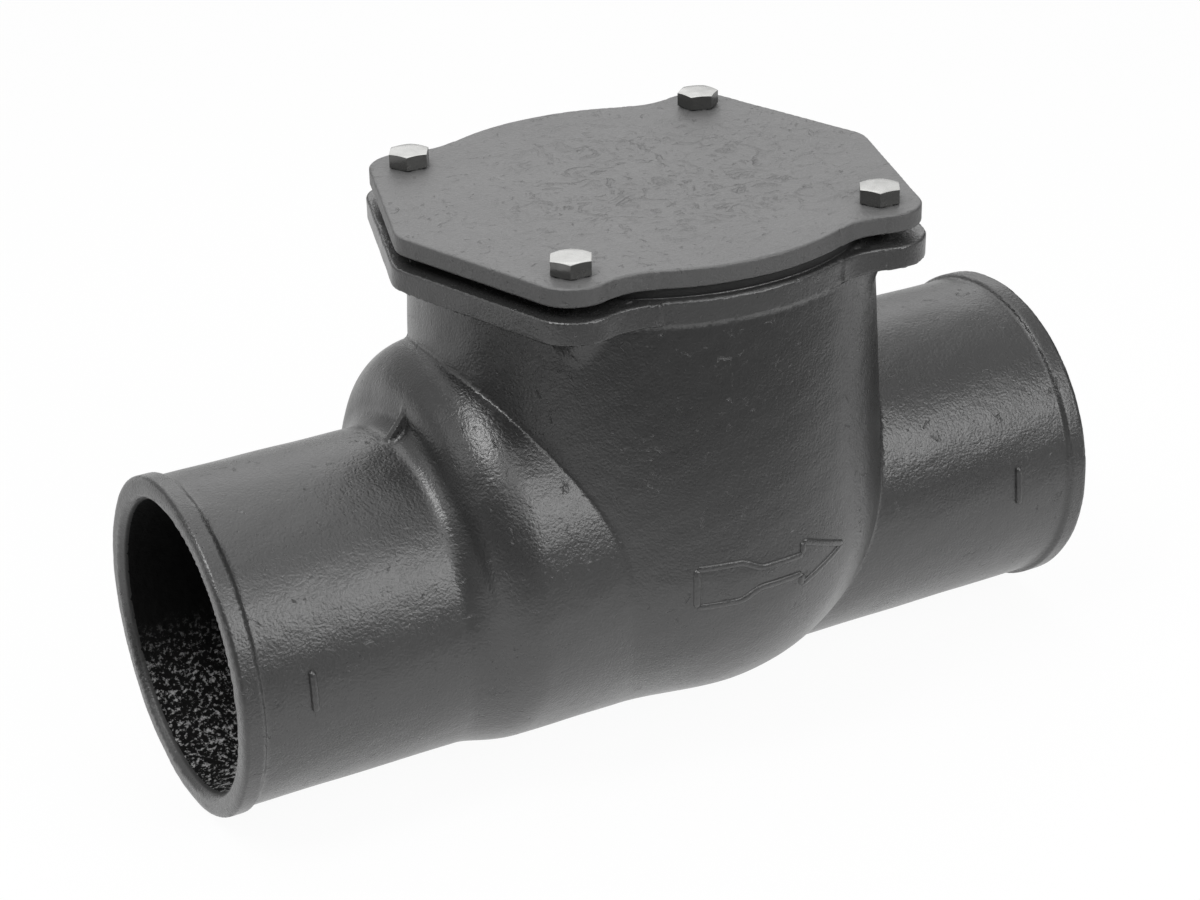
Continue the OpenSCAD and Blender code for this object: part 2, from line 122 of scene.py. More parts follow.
def colour(name, description, default):
    """A linear colour on the panel."""
    return bpy.props.FloatVectorProperty(
        name=name, description=description, default=default, size=3, subtype="COLOR", min=0, max=1
    )


class CastingSizes(bpy.types.PropertyGroup):
    """Sizes of the cast body and cover, and the softness of their edges and fillets."""

    pipe_r: length("Pipe radius", "Outside radius of the plain pipe ends", 55.65 * MM)
    bead_w: length("Bead width", "Width of the bead at each end", 7 * MM)
    bead_edge: length("Bead edge", "Rounding of the bead's edges", 1.2 * MM)
    bore_r: length("Bore radius", "Radius of the waterway", BORE_R)
    mouth: length("Mouth flare", "How far the mouths of the waterway flare out", 1.5 * MM)
    shoulder_x: length("Shoulder place", "Distance from the inlet face to the barrel's shoulder", 83.5 * MM)
    shoulder_r: length("Shoulder rounding", "Rounding of the shoulder's outer edge", 20 * MM)
    shoulder_hollow: length("Shoulder hollow", "Fillet where the shoulder rises from the pipe", 7 * MM)
    barrel_rise: length("Barrel rise", "Height of the barrel's axis above the pipe's axis", 12.8 * MM)
    barrel_r: length("Barrel radius", "Outside radius of the barrel", 68.96 * MM)
    wall: length("Wall", "Wall of the casting", 6.5 * MM)
    belly_r: length("Belly radius", "Largest outside radius of the chamber", 82 * MM)
    belly_z: length("Belly height", "Height of the belly above the pipe's axis", 18 * MM)
    chamber_taper: length("Chamber taper", "Radius that the chamber loses up to its flange", 4 * MM)
    bowl_depth: length("Bowl depth", "Depth of the chamber's bowl below the pipe's axis", 53 * MM)
    crease: length("Crease fillet", "Fillet where the barrel meets the chamber at the top", 0.6 * MM)
    bowl_crease: length("Bowl fillet", "Fillet where the barrel and pipe meet the bowl", 5 * MM)
    outlet_crease: length("Outlet fillet", "Fillet where the chamber meets the outlet pipe", 0.8 * MM)
    flange_t: length("Flange thickness", "Thickness of the flange", 8 * MM)
    flange_edge: length("Flange edge", "Rounding of the flange's edges", 0.7 * MM)
    flange_hollow: length("Flange fillet", "Fillet under the flange", 0.8 * MM)
    raised_h: length("Raised face", "Height of the gasket's face on the flange", 0.6 * MM)
    raised_root: length("Raised face root", "How far that face reaches into the flange", 0.4 * MM)
    raised_edge: length("Raised face edge", "Corner break of that face", 0.15 * MM)
    rim_r: length("Rim radius", "Radius of the flange's round rim", 79.5 * MM)
    rim_step: length("Rim step", "How far the rim lies behind the faces of the lugs", 0.7 * MM)
    lug_r: length("Lug radius", "Radius of the lug around each bolt", 15.3 * MM)
    lug_hollow: length("Lug hollow", "Hollow between the rim and each lug", 24 * MM)
    point_reach: length("Point reach", "Distance of the flange's end points from its axis", 90.5 * MM)
    point_r: length("Point rounding", "Rounding of the flange's end points", 14 * MM)
    gusset_h: length("Boss height", "Height of the boss under each lug", 15 * MM)
    gusset_in: length("Boss inset", "How far the boss stands in from its bolt", 8.5 * MM)
    gusset_r: length("Boss radius", "Radius of the boss at the flange", 12 * MM)
    gusset_tip: length("Boss tip", "Radius of the boss at its tip", 3.5 * MM)
    gusset_hollow: length("Boss fillet", "Fillet between the boss and the chamber", 3 * MM)
    neck_r: length("Neck radius", "Radius of the access opening", 67 * MM)
    seat_back: length("Seat place", "Distance of the seat upstream of the chamber's axis", 45 * MM)
    seat_rise: length("Seat rise", "Height of the seat's middle above the pipe's axis", 0.5 * MM)
    seat_wall: length("Seat wall", "Thickness of the wall that holds the seat", 9 * MM)
    seat_tilt: turn("Seat tilt", "Tilt of the seat from upright", 20)
    seat_r: length("Seat radius", "Radius of the hole for the seat ring", 49.5 * MM)
    bolt_hole_r: length("Bolt hole", "Radius of the bolt holes in the flange", 4.1 * MM)
    web_y: length("Web place", "Sideways place of the small web on the inlet pipe", -3 * MM)
    web_t: length("Web thickness", "Thickness of the web", 3.5 * MM)
    web_foot: length("Web foot", "Distance from the inlet face to the foot of the web", 76.5 * MM)
    web_top: length("Web top", "Height of the web's top on the shoulder", 66 * MM)
    cover_inset: length("Cover inset", "How far the cover's edge lies inside the flange's", 1.5 * MM)
    cover_edge: length("Cover edge", "Rounding of the cover's edges", 0.8 * MM)
    cover_hole_r: length("Cover hole", "Radius of the bolt holes in the cover", 4.55 * MM)
    register_clear: length("Register clearance", "Room round the cover's register in the neck", 1 * MM)
    step: length("Mesh step", "Size of the faces on the casting", 1.3 * MM)
    cover_step: length("Cover step", "Size of the faces on the cover", 1.1 * MM)
    waviness: length("Waviness", "Height of the unevenness that sand moulding leaves", 0.12 * MM)


class MarkSizes(bpy.types.PropertyGroup):
    """Sizes of the raised marks on the casting."""

    line_w: length("Line width", "Width of the arrow's raised lines", 2.5 * MM)
    line_h: length("Line height", "How far the lines stand out", 0.65 * MM)
    line_sink: length("Line root", "How far the lines reach into the casting", 0.4 * MM)
    line_gap: length("Line points", "Distance between the points of the arrow's lines", 0.7 * MM)
    tick_h: length("Tick height", "How far the ticks stand out", 1.4 * MM)
    arrow_z: length("Arrow height", "Height of the arrow above the pipe's axis", 14.6 * MM)
    tail_end: length("Tail end", "Distance of the arrow's tail behind the chamber's middle", 26 * MM)
    tail_half: length("Tail half", "Half of the tail's height", 7.1 * MM)
    tail_front: length("Tail front", "Distance from the middle to where the tail narrows", 12 * MM)
    shaft_half: length("Shaft half", "Half of the shaft's height", 3.6 * MM)
    shaft_back: length("Shaft back", "Distance behind the middle where the shaft begins", 2 * MM)
    head_back: length("Head back", "Distance from the middle to the back of the head", 13 * MM)
    head_half: length("Head half", "Half of the head's height", 8.2 * MM)
    tip: length("Tip", "Distance from the middle to the arrow's tip", 33 * MM)
    tick_in: length("Inlet tick", "Distance from the inlet face to its tick", 24.3 * MM)
    tick_out: length("Outlet tick", "Distance from the outlet face to its tick", 29.1 * MM)
    tick_low: length("Tick foot", "Height of the ticks' lower ends", -3 * MM)
    tick_high: length("Tick top", "Height of the ticks' upper ends", 11.3 * MM)
    tick_w: length("Tick width", "Width of the ticks", 2.6 * MM)


class BoltSizes(bpy.types.PropertyGroup):
    """Sizes of the cover bolts."""

    flats: length("Across flats", "Width of the hexagon head across its flats", 12.7 * MM)
    head_h: length("Head height", "Height of the head", 5.3 * MM)
    face_h: length("Washer face", "Height of the round face under the head", 0.4 * MM)
    face_share: number("Face share", "Share of the flats that the washer face takes", 0.96)
    edge: length("Head edge", "Corner break under the head", 0.1 * MM)
    crown: turn("Crown angle", "Angle of the turned corners on top of the head", 14)
    crown_share: number("Crown share", "Share of the flats that the flat top takes", 0.97)
    shank_r: length("Shank radius", "Radius over the thread", 3.95 * MM)
    pitch: length("Pitch", "Pitch of the thread", 1.41 * MM)
    thread_depth: length("Thread depth", "Depth of the thread", 0.7 * MM)
    plain: length("Plain shank", "Length of the shank without thread", 2 * MM)


class Finishes(bpy.types.PropertyGroup):
    """Colours of the valve's materials."""

    paint: colour("Paint", "Thin black coating on the casting", (0.034, 0.034, 0.034))
    # Painted light: the cover's coating is given about three times the casting's brightness, for the light
    # on its upward face.
    lit_cover_paint: colour("Cover paint", "Black coating on the cover", (0.100, 0.100, 0.100))
    rubber: colour("Rubber", "Gasket and seal", (0.012, 0.012, 0.012))
    zinc: colour("Zinc", "Plated cover bolts", (0.40, 0.40, 0.39))
    bronze: colour("Bronze", "Seat ring, hinge and flapper", (0.44, 0.27, 0.11))
    brass: colour("Brass", "Screws of the hinge bracket", (0.58, 0.43, 0.17))
    steel: colour("Steel", "Hinge pin, nut and split pin", (0.56, 0.56, 0.57))


class StageSettings(bpy.types.PropertyGroup):
    """Floor, lights and camera."""

    floor: colour("Floor", "Colour of the floor", (0.92, 0.92, 0.92))
    ambient: number("Ambient", "Light from all round, as a share of white", 0.30)
    gleam: number("Gleam", "Brightness of the studio in reflections, as a share of white", 0.62)
    dimming: number("Dimming", "How much dimmer the studio is towards the front", 0.80)
    pool: length("Light pool", "Radius of the bright floor round the valve", 240 * MM)
    falloff: number("Falloff", "How much dimmer the floor is far in front", 0.65)
    shadow: number("Shadow", "Share of the valve's shadow that the camera sees on the floor", 0.05)
    azimuth: turn("Azimuth", "Direction of the camera round the valve", -28.63)
    elevation: turn("Elevation", "Height of the camera above the horizon", 25.76)
    roll: turn("Roll", "Turn of the camera about its line of sight", 1.49)
    distance: length("Distance", "Distance of the camera from its target", 988.5 * MM)
    lens: number("Lens", "Focal length in millimetres on a 36 mm sensor", 84.676)
    target: bpy.props.FloatVectorProperty(
        name="Target", description="Point that the camera looks at", size=3, subtype="XYZ", unit="LENGTH",
        default=(166.86 * MM, 16.27 * MM, 21.62 * MM),
    )


# Shader trees

class Value:
    """A number in a shader tree. Sums, differences and products of values become Math nodes."""

    def __init__(self, tree, socket):
        self.tree = tree
        self.socket = socket

    def math(self, operation, first, second):
        node = self.tree.nodes.new("ShaderNodeMath")
        node.operation = operation
        for socket, value in zip(node.inputs, (first, second)):
            plug(self.tree, socket, value)
        return Value(self.tree, node.outputs[0])

    def __add__(self, other):
        return self.math("ADD", self, other)

    __radd__ = __add__

    def __sub__(self, other):
        return self.math("SUBTRACT", self, other)

    def __rsub__(self, other):
        return self.math("SUBTRACT", other, self)

    def __mul__(self, other):
        return self.math("MULTIPLY", self, other)

    __rmul__ = __mul__


def plug(tree, socket, value):
    """Links a value to a socket, or sets the socket to a plain number or colour."""
    if isinstance(value, Value):
        tree.links.new(value.socket, socket)
    else:
        socket.default_value = value


class Nodes:
    """A shader tree and the nodes that it is made of."""

    def __init__(self, tree):
        self.tree = tree
        tree.nodes.clear()

    def node(self, kind, settings, inputs, output=0):
        """Adds a node, with its settings set first, and gives one of its outputs."""
        node = self.tree.nodes.new(kind)
        for name, value in settings.items():
            if name == "stops":
                set_stops(node.color_ramp, value)
            else:
                setattr(node, name, value)
        for name, value in inputs.items():
            plug(self.tree, node.inputs[name], value)
        return Value(self.tree, node.outputs[output])

    def place(self):
        """Position on the piece, in metres."""
        return self.node("ShaderNodeTexCoord", {}, {}, "Object")

    def part_of(self, vector, axis):
        """One part of a vector."""
        return self.node("ShaderNodeSeparateXYZ", {}, {0: vector}, axis)

    def scaled(self, vector, factors):
        """A vector with each part multiplied by its own factor."""
        return self.node("ShaderNodeVectorMath", {"operation": "MULTIPLY"}, {0: vector, 1: factors})

    def distance(self, vector, point):
        """Distance of a place from a point."""
        return self.node("ShaderNodeVectorMath", {"operation": "DISTANCE"}, {0: vector, 1: point}, "Value")

    def upward(self):
        """1 on faces that look up, 0 on upright ones."""
        facing = self.part_of(self.node("ShaderNodeTexCoord", {}, {}, "Normal"), "Z")
        return self.fade(facing, 0.3, 0.9)

    def noise(self, size, detail=2.0, roughness=0.5, distortion=0.0):
        """Soft noise with spots of the given size in metres."""
        inputs = {"Vector": self.place(), "Scale": 1 / size, "Detail": detail, "Roughness": roughness}
        inputs["Distortion"] = distortion
        return self.node("ShaderNodeTexNoise", {}, inputs, "Fac")

    def ramp(self, value, *stops):
        """Maps a value through stops of position and brightness."""
        grey = [(place, (level, level, level, 1)) for place, level in stops]
        return self.node("ShaderNodeValToRGB", {"stops": grey}, {"Fac": value})

    def fade(self, value, low, high):
        """Goes smoothly from 0 to 1 while a value goes from low to high."""
        inputs = {"Value": value, "From Min": low, "From Max": high}
        return self.node("ShaderNodeMapRange", {"interpolation_type": "SMOOTHSTEP"}, inputs)

    def mix(self, share, first, second):
        """Colour between two colours."""
        inputs = {0: share, 6: rgba(first), 7: rgba(second)}
        return self.node("ShaderNodeMix", {"data_type": "RGBA"}, inputs, 2)

    def ray(self, kind):
        """1 on rays of a kind."""
        return self.node("ShaderNodeLightPath", {}, {}, f"Is {kind} Ray")


class Finish(Nodes):
    """One material: a Principled shader and the nodes that feed it."""

    def __init__(self, name, **constants):
        self.material = bpy.data.materials.new(name)
        self.material.use_nodes = True
        super().__init__(self.material.node_tree)
        self.output = self.tree.nodes.new("ShaderNodeOutputMaterial")
        self.shader = self.tree.nodes.new("ShaderNodeBsdfPrincipled")
        self.tree.links.new(self.shader.outputs[0], self.output.inputs[0])
        for socket, value in constants.items():
            self.shader.inputs[socket.replace("_", " ")].default_value = value

    def feed(self, socket, value):
        plug(self.tree, self.shader.inputs[socket], value)

    def bump(self, height, depth):
        """Raises the surface by a height from 0 to 1, at most by the depth in metres."""
        self.feed("Normal", self.node("ShaderNodeBump", {}, {"Height": height, "Distance": depth}))


def set_stops(ramp, stops):
    """Gives a colour ramp its stops."""
    while len(ramp.elements) < len(stops):
        ramp.elements.new(1)
    for element, (place, tone) in zip(ramp.elements, stops):
        element.position = place
        element.color = tone


def rgba(tone):
    """A colour with full alpha, or a value as it is."""
    return tone if isinstance(tone, Value) else (*tone, 1)


def shade(tone, factor):
    """A colour made darker or lighter."""
    return tuple(min(1.0, part * factor) for part in tone)


def cast_paint(name, tone):
    """Thin satin coating on sand-cast iron: grain, soft lumps and a few pits, with painted shade on the
    chamber under the flange and at the mouths of the waterway.
    """
    paint = Finish(name, IOR=1.7)
    cloud = paint.noise(45 * MM, 3)
    lumps = paint.noise(5 * MM, 3)
    grain = paint.noise(0.9 * MM, 2)
    pits = paint.ramp(paint.noise(4.5 * MM, 4, 0.6, 1.0), (0.27, 1), (0.36, 0))
    place = paint.place()
    off_axis = paint.distance(paint.scaled(place, (0, 1, 1)), (0, 0, 0))
    # Painted shade: towards the bore the casting's colour turns near black at the mouths, meeting the
    # waterway's painted shade.
    painted_lip_shade = 1 - paint.fade(off_axis, *LIP_SHADE)
    height = paint.part_of(place, "Z")
    # Painted shade: the chamber's colour darkens from the belly up towards a fifth of it just under the
    # flange, where the flange's shade falls.
    flange_shade = paint.fade(height, *FLANGE_SHADE_RISE) * (1 - paint.fade(height, *FLANGE_SHADE_END))
    base_colour = paint.mix(0.6 * cloud + 0.4 * lumps, shade(tone, 0.75), shade(tone, 1.25))
    base_colour = paint.mix(flange_shade * (0.55 + 0.4 * lumps), base_colour, shade(tone, 0.2))
    paint.feed("Base Color", paint.mix(painted_lip_shade, base_colour, shade(tone, 0.06)))
    paint.feed("Roughness", 0.17 + 0.12 * cloud + 0.14 * grain + 0.4 * painted_lip_shade)
    paint.bump(0.5 * lumps + 0.45 * grain - 0.5 * pits, 0.42 * MM)
    return paint.material


def bore_shade_paint(name, tone):
    """Painted shade inside the waterway: a dull, near-black colour, with pale grains of sand painted as
    glints only on its lower, lit part.
    """
    paint = Finish(name, Specular_IOR_Level=0.12)
    lumps = paint.noise(4 * MM, 4, 0.6)
    # Painted glints: sand grains show pale only low down inside, where light falls.
    low = 1 - paint.fade(paint.part_of(paint.place(), "Z"), *LIT_SAND_FADE)
    lit_sand_specks = low * paint.ramp(paint.noise(1.6 * MM, 3, 0.7), (0.53, 0), (0.66, 1))
    # Painted shade: the waterway's inside is coloured near black.
    base_colour = paint.mix(lumps, shade(tone, 0.03), shade(tone, 0.2))
    paint.feed("Base Color", paint.mix(lit_sand_specks, base_colour, shade(tone, 14)))
    paint.feed("Roughness", 0.5 + 0.4 * lumps)
    paint.bump(lumps, 0.6 * MM)
    return paint.material


def lit_cover_paint(name, tone):
    """The casting's coating on the cover, in a lighter tone as painted light on its upward face, with
    painted shade on its upright edges, pits, and the run of the iron round its middle.
    """
    paint = Finish(name, IOR=1.7)
    cloud = paint.noise(40 * MM, 3)
    lumps = paint.noise(6 * MM, 4)
    grain = paint.noise(0.9 * MM, 2)
    spread = paint.distance(paint.place(), (CHAMBER_X + 10 * MM, 0, COVER_HIGH.z))
    middle = 1 - paint.fade(spread, *MAR_FADE)
    runs = paint.ramp(paint.noise(12 * MM, 5, 0.65, 1.6), (0.36, 1), (0.44, 0), (0.58, 0), (0.66, 0.6))
    pits = paint.ramp(paint.noise(4.5 * MM, 4, 0.6, 1.0), (0.30, 1), (0.38, 0))
    marred = runs * (0.15 + 0.6 * middle) + 0.6 * pits
    base_colour = paint.mix(0.5 * cloud + 0.5 * lumps, shade(tone, 0.7), shade(tone, 1.3))
    # Painted shade: faces of the cover that don't look up are darker than its top.
    base_colour = paint.mix(paint.upward(), shade(tone, 0.6), base_colour)
    paint.feed("Base Color", paint.mix(0.35 * marred, base_colour, shade(tone, 0.45)))
    paint.feed("Roughness", 0.36 + 0.14 * lumps + 0.14 * grain)
    paint.bump(0.8 * lumps + 0.4 * grain - 0.9 * marred, 0.55 * MM)
    return paint.material


def rubber(name, tone):
    """Dull black sheet rubber with a fine grain."""
    sheet = Finish(name)
    grain = sheet.noise(0.6 * MM, 3)
    cloud = sheet.noise(20 * MM, 2)
    sheet.feed("Base Color", sheet.mix(cloud, shade(tone, 0.7), shade(tone, 1.6)))
    sheet.feed("Roughness", 0.62 + 0.25 * grain)
    sheet.bump(grain, 0.08 * MM)
    return sheet.material


def metal(name, tone, roughness, dulling, mark_size, flank=1.0):
    """Bare metal with machining marks, a patchy dull film, and painted shade that may make its flanks
    darker than its top.
    """
    bare = Finish(name, Metallic=1.0)
    film = bare.ramp(bare.noise(9 * MM, 4, 0.6), (0.35, 0), (0.75, 1))
    marks = bare.noise(mark_size, 2)
    base_colour = bare.mix(film, tone, shade(tone, dulling))
    # Painted shade: with a flank below 1, faces that don't look up are darkened by it.
    if flank < 1:
        base_colour = bare.mix(bare.upward(), shade(tone, flank), base_colour)
    bare.feed("Base Color", base_colour)
    bare.feed("Roughness", roughness + 0.22 * film + 0.10 * marks)
    bare.bump(marks, 0.05 * MM)
    return bare.material


def floor_paint(name, stage):
    """Pale floor, white to the camera with a soft shadow, and in reflections dimmer far in front."""
    floor = Finish(name, Roughness=1.0, Base_Color=(*stage.floor, 1), Specular_IOR_Level=0.0)
    oval = (0.4, 1, 1)
    spread = floor.distance(floor.scaled(floor.place(), oval), (oval[0] * CHAMBER_X, 0, BODY_LOW.z))
    pool = 1 - stage.falloff * floor.fade(spread, 0.6 * stage.pool, 1.5 * stage.pool)
    behind = floor.fade(floor.part_of(floor.place(), "Y"), *REAR_FADE)
    lit = pool + (1 - pool) * behind
    camera = floor.ray("Camera")
    seen = (1 - stage.shadow) * camera + floor.ray("Glossy") + floor.ray("Transmission")
    level = floor.mix(camera + (1 - camera) * lit, (0, 0, 0), (1, 1, 1))
    glow = floor.node("ShaderNodeEmission", {}, {"Color": level, "Strength": 1.0})
    painted = Value(floor.tree, floor.shader.outputs[0])
    shown = floor.node("ShaderNodeMixShader", {}, {0: seen, 1: painted, 2: glow})
    floor.tree.links.new(shown.socket, floor.output.inputs[0])
    return floor.material


# Shapes as distances: negative inside, positive outside

def between(place, low, high):
    """Distance to the slab between two planes."""
    return np.maximum(low - place, place - high)


def inside_both(first, second, edge=0.0):
    """Distance to the overlap of two shapes, with their common edge rounded."""
    first, second = first + edge, second + edge
    outside = np.hypot(np.maximum(first, 0), np.maximum(second, 0))
    return np.minimum(np.maximum(first, second), 0) + outside - edge


def cast_in_one(first, second, hollow):
    """Distance to two shapes cast in one, with a fillet where they meet."""
    near = np.hypot(np.maximum(hollow - first, 0), np.maximum(hollow - second, 0))
    return np.maximum(np.minimum(first, second), hollow) - near


def tapered_link(u, v, start, start_r, end, end_r):
    """Distance to the outline pulled tight around two circles in a plane."""
    run = np.subtract(end, start)
    span2 = run @ run
    across = np.abs((u - start[0]) * run[1] - (v - start[1]) * run[0]) / span2
    along = ((u - start[0]) * run[0] + (v - start[1]) * run[1]) / span2
    slope = start_r - end_r
    lean = math.sqrt(span2 - slope * slope)
    side = lean * along - slope * across
    near_start = np.sqrt(span2 * (across**2 + along**2)) - start_r
    near_end = np.sqrt(span2 * (across**2 + (along - 1) ** 2)) - end_r
    flank = lean * across + slope * along - start_r
    return np.where(side < 0, near_start, np.where(side > lean, near_end, flank))


def flange_plan(s, u, v, bolt, rim_step=0.0):
    """Distance to the flange's outline, folded into one quarter."""
    rim = np.hypot(u, v) - s.rim_r + rim_step
    point = (s.point_reach - s.point_r, 0.0)
    link = tapered_link(u, v, (bolt, bolt), s.lug_r, point, s.point_r)
    span = math.hypot(bolt, bolt)
    along = ((s.rim_r + s.lug_hollow) ** 2 - (s.lug_r + s.lug_hollow) ** 2 + span**2) / (2 * span)
    aside = math.sqrt((s.rim_r + s.lug_hollow) ** 2 - along**2)
    middle = ((along - aside) / math.sqrt(2), (along + aside) / math.sqrt(2))
    reach = math.hypot(*middle)
    rise, run = middle[1] - bolt, bolt - middle[0]
    past_lug = (rise * (u - bolt) + run * (v - bolt)) / math.hypot(rise, run)
    past_rim = (middle[0] * v - middle[1] * u) / reach
    corner = np.maximum(s.lug_hollow - np.hypot(u - middle[0], v - middle[1]), (u - v) / math.sqrt(2))
    corner = np.maximum(corner, np.maximum(past_lug, past_rim))
    return cast_in_one(rim, np.minimum(link, corner), rim_step)


def chamber_slope(s):
    """How fast the chamber narrows from its belly up to the flange."""
    return s.chamber_taper / (BODY_HIGH.z - s.raised_h - s.flange_t - s.belly_z)


def chamber_wall(s, out, z, inset):
    """Distance to the chamber's turned outside, or to its inside with an inset."""
    round_r = s.bowl_depth + s.belly_z - inset
    side_r = s.belly_r - inset
    slope = chamber_slope(s)
    bowl = np.hypot(np.maximum(out - side_r + round_r, 0), z - s.belly_z) - round_r
    side = (out - side_r + slope * (z - s.belly_z)) / math.hypot(1, slope)
    return np.where(z < s.belly_z, bowl, side)


def waves(x, y, z):
    """Low swells of a sand-cast face, from -1 to 1, with crests about 20 to 40 mm apart."""
    level = np.sin(230 * x + 1) * np.sin(260 * y + 2)
    aslant = np.sin(310 * y + 170 * z) * np.sin(280 * z - 150 * x)
    return (level + aslant) / 2


def casting_field(s, x, y, z):
    """Distance to the cast body at every point of a grid."""
    end = BODY_HIGH.x
    flange_top = BODY_HIGH.z - s.raised_h
    flange_bottom = flange_top - s.flange_t
    pipe_out = np.hypot(y, z)
    barrel_out = np.hypot(y, z - s.barrel_rise)
    chamber_out = np.hypot(x - CHAMBER_X, y)
    u, v = np.abs(x - CHAMBER_X), np.abs(y)

    # Pipe ends with their beads
    solid = inside_both(pipe_out - s.pipe_r, between(x, 0, end), s.bead_edge)
    for start in (0, end - s.bead_w):
        bead = inside_both(pipe_out + BODY_LOW.z, between(x, start, start + s.bead_w), s.bead_edge)
        solid = cast_in_one(solid, bead, s.bead_edge)

    # Barrel with its shoulder, and the small web in front of it
    barrel_span = between(x, s.shoulder_x, CHAMBER_X + s.shoulder_r)
    barrel = inside_both(barrel_out - s.barrel_r, barrel_span, s.shoulder_r)
    solid = cast_in_one(solid, barrel, s.shoulder_hollow)
    run, rise = s.shoulder_x + MM - s.web_foot, s.web_top - s.pipe_r
    slope = (run * (z - s.pipe_r) - rise * (x - s.web_foot)) / math.hypot(run, rise)
    within = np.maximum(x - s.shoulder_x - s.wall, s.pipe_r - s.wall - z)
    web = inside_both(slope, np.maximum(np.abs(y - s.web_y) - s.web_t / 2, within), MM)
    solid = cast_in_one(solid, web, MM)

    # Chamber, sharp against the barrel at the top and soft round the bowl
    chamber = inside_both(chamber_wall(s, chamber_out, z, 0), z - flange_top)
    low = np.clip((s.belly_r - s.wall - z) / (s.belly_r + s.bowl_depth), 0, 1)
    crease = s.crease + (s.bowl_crease - s.crease) * low**3
    crease = np.where(x > CHAMBER_X, s.outlet_crease, crease)
    solid = cast_in_one(solid, chamber, crease)

    # Bosses and flange
    gusset = BOLT_HALF - s.gusset_in / math.sqrt(2)
    flare = (s.gusset_r - s.gusset_tip) / s.gusset_h
    cone = np.hypot(u - gusset, v - gusset) - s.gusset_r + flare * (flange_bottom - z)
    boss = inside_both(cone / math.hypot(1, flare), between(z, flange_bottom - s.gusset_h, flange_top))
    solid = cast_in_one(solid, boss, s.gusset_hollow)
    slab = between(z, flange_bottom, flange_top)
    flange = inside_both(flange_plan(s, u, v, BOLT_HALF, s.rim_step), slab, s.flange_edge)
    solid = cast_in_one(solid, flange, s.flange_hollow) + s.waviness * waves(x, y, z)

    # Waterway, chamber, seat and bolt holes
    mouth = np.maximum(2 * s.mouth - np.minimum(x, end - x), 0) ** 2 / (4 * s.mouth)
    bore = pipe_out - s.bore_r - mouth
    core_span = between(x, s.shoulder_x + s.wall, CHAMBER_X + s.shoulder_r)
    core = inside_both(barrel_out - s.barrel_r + s.wall, core_span, s.shoulder_r - s.wall)
    seat_x, seat_z = CHAMBER_X - s.seat_back, s.seat_rise
    seat_out = (x - seat_x) * math.cos(s.seat_tilt) + (z - seat_z) * math.sin(s.seat_tilt)
    seat_up = (z - seat_z) * math.cos(s.seat_tilt) - (x - seat_x) * math.sin(s.seat_tilt)
    inlet = np.maximum(np.minimum(bore, core), seat_out + s.seat_wall)
    room = np.minimum(inside_both(chamber_wall(s, chamber_out, z, s.wall), z - flange_bottom), core)
    hollow = np.minimum(inlet, np.maximum(room, -seat_out))
    hollow = np.minimum(hollow, np.maximum(bore, CHAMBER_X - s.wall - x))
    port = np.maximum(np.hypot(y, seat_up) - s.seat_r, between(seat_out, -s.seat_wall - MM, MM))
    hollow = np.minimum(hollow, port)
    hollow = np.minimum(hollow, np.maximum(chamber_out - s.neck_r, flange_bottom - MM - z))
    drilled = np.hypot(u - BOLT_HALF, v - BOLT_HALF) - s.bolt_hole_r
    hollow = np.minimum(hollow, np.maximum(drilled, BOLT_LOW.z - MM - z))
    return np.maximum(solid, -hollow)


def cover_field(s, x, y, z):
    """Distance to the access cover at every point of a grid."""
    u, v = np.abs(x - CHAMBER_X), np.abs(y)
    plan = flange_plan(s, u, v, BOLT_HALF) + s.cover_inset
    plate = inside_both(plan, between(z, GASKET_HIGH.z, COVER_HIGH.z), s.cover_edge)
    plate = plate + s.waviness * (1 + waves(x, y, z)) / 2
    register_out = np.hypot(u, v) - s.neck_r + s.register_clear
    register = inside_both(register_out, between(z, COVER_LOW.z, COVER_HIGH.z - MM), s.cover_edge)
    drilled = np.hypot(u - BOLT_HALF, v - BOLT_HALF) - s.cover_hole_r
    return np.maximum(np.minimum(plate, register), -drilled)


# Meshes and pieces

def skin(field, low, step):
    """Corners and four-sided faces of the surface where a field on a grid is zero."""
    inside = field < 0
    cells, points = [], []
    for axis in range(3):
        line = np.moveaxis(inside, axis, 0)
        place = np.argwhere(np.moveaxis(line[:-1] != line[1:], 0, axis))
        ahead = place.copy()
        ahead[:, axis] += 1
        here, there = field[tuple(place.T)], field[tuple(ahead.T)]
        point = place.astype(float)
        point[:, axis] += here / (here - there)
        side, other = np.eye(3, dtype=int)[(axis + 1) % 3], np.eye(3, dtype=int)[(axis + 2) % 3]
        around = np.stack([place, place - side, place - side - other, place - other], axis=1)
        around[here > 0] = around[here > 0][:, ::-1]
        cells.append(np.ravel_multi_index(around.reshape(-1, 3).T, field.shape))
        points.append(np.repeat(point, 4, axis=0))
    quads = np.unique(np.concatenate(cells), return_inverse=True)[1]
    points = np.concatenate(points)
    count = np.bincount(quads)
    corners = np.stack([np.bincount(quads, points[:, k]) / count for k in range(3)], axis=1)
    return low + corners * step, quads.reshape(-1, 4)


def slopes(shape, corners, reach):
    """Distance from each corner to a shape, and the direction straight out of it."""
    out = np.empty_like(corners)
    for axis in range(3):
        shift = reach * np.eye(3)[axis]
        out[:, axis] = shape(*(corners + shift).T) - shape(*(corners - shift).T)
    size = np.linalg.norm(out, axis=1, keepdims=True)
    return shape(*corners.T), out / np.maximum(size, 1e-12)


